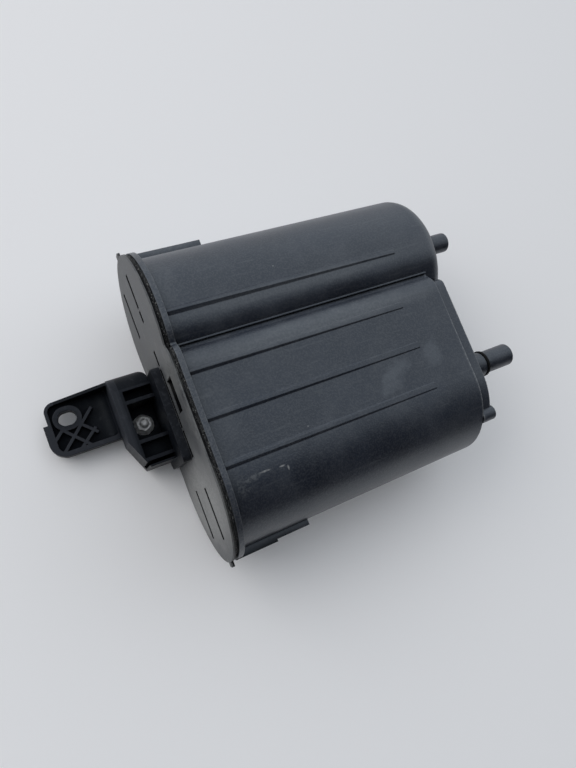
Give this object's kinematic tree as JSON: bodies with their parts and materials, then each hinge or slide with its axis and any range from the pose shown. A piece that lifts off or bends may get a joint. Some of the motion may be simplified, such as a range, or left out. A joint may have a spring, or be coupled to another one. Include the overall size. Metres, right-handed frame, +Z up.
{
  "type": "charcoal canister",
  "caption": "Two-lobed moulded plastic vapour canister with a welded end cap, hose nipples, side rails and a ribbed mounting bracket, filled with charcoal.",
  "frame": {"origin": "under the middle of the part's box, on the surface that it lies on", "axes": "+X from the end cap to the hose nipples, +Y towards the round side lobe, +Z up from the flat side it lies on"},
  "size_m": [0.2324, 0.154, 0.075],
  "materials": {
    "housing": "moulded, slightly dusty",
    "bead": "rough weld flash",
    "cap": "moulded, dusty",
    "bracket": "moulded, satin",
    "zinc": "zinc plated",
    "seal": "plain",
    "grid": "moulded",
    "foam": "open-cell foam",
    "carbon": "packed granules",
    "spring": "drawn wire"
  },
  "bodies": {
    "root": {"canister_body": "housing", "weld_bead": "bead", "end_cap": "cap", "mounting_bracket": "bracket", "bracket_stud": "zinc", "stud_washer": "zinc", "flange_nut": "zinc", "port_ring": "seal", "main_grid": "grid", "main_port_foam": "foam", "main_carbon": "carbon", "main_cap_foam": "foam", "main_press_plate": "grid", "main_spring_a": "spring", "main_spring_b": "spring", "side_grid": "grid", "side_port_foam": "foam", "side_carbon": "carbon", "side_cap_foam": "foam", "side_press_plate": "grid", "side_spring": "spring"}
  },
  "joints": []
}
